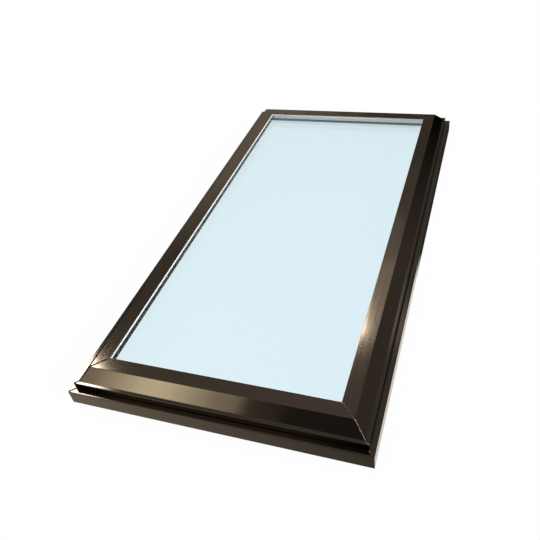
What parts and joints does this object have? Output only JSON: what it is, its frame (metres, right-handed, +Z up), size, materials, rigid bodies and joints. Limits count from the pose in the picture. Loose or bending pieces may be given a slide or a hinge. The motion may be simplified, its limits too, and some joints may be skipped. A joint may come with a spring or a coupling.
{
  "type": "fixed curb mount skylight",
  "caption": "Fixed rectangular skylight: a bronze aluminium frame with a bevelled clip-fit cap and a deep skirt that drops over a roof curb, holding a sealed double-glazed unit.",
  "frame": {"origin": "on the plane of the skirt's bottom edge, under the middle of the frame", "axes": "+Z up through the glass, +Y along the frame's long side, front (short side nearest the picture's camera) at -Y"},
  "size_m": [0.6582, 1.2676, 0.078],
  "materials": {
    "bronze_frame": "satin dark bronze anodised",
    "glass": "clear float with a pale blue cast",
    "spacer": "mill, perforated",
    "edge_seal": "matte black",
    "glazing_gasket": "pale grey silicone",
    "glazing_tape": "matte black",
    "curb_gasket": "closed-cell foam",
    "mitre_sealant": "satin",
    "corner_key": "mill"
  },
  "bodies": {
    "root": {"front_curb_rail": "bronze_frame", "front_cap": "bronze_frame", "front_glazing_gasket": "glazing_gasket", "front_glazing_tape": "glazing_tape", "front_edge_seal": "edge_seal", "front_spacer_bar": "spacer", "front_curb_gasket": "curb_gasket", "back_curb_rail": "bronze_frame", "back_cap": "bronze_frame", "back_glazing_gasket": "glazing_gasket", "back_glazing_tape": "glazing_tape", "back_edge_seal": "edge_seal", "back_spacer_bar": "spacer", "back_curb_gasket": "curb_gasket", "left_curb_rail": "bronze_frame", "left_cap": "bronze_frame", "left_glazing_gasket": "glazing_gasket", "left_glazing_tape": "glazing_tape", "left_edge_seal": "edge_seal", "left_spacer_bar": "spacer", "left_curb_gasket": "curb_gasket", "right_curb_rail": "bronze_frame", "right_cap": "bronze_frame", "right_glazing_gasket": "glazing_gasket", "right_glazing_tape": "glazing_tape", "right_edge_seal": "edge_seal", "right_spacer_bar": "spacer", "right_curb_gasket": "curb_gasket", "front_left_corner_key": "corner_key", "front_left_mitre_seal": "mitre_sealant", "front_right_corner_key": "corner_key", "front_right_mitre_seal": "mitre_sealant", "back_left_corner_key": "corner_key", "back_left_mitre_seal": "mitre_sealant", "back_right_corner_key": "corner_key", "back_right_mitre_seal": "mitre_sealant", "inner_pane": "glass", "outer_pane": "glass"}
  },
  "joints": []
}
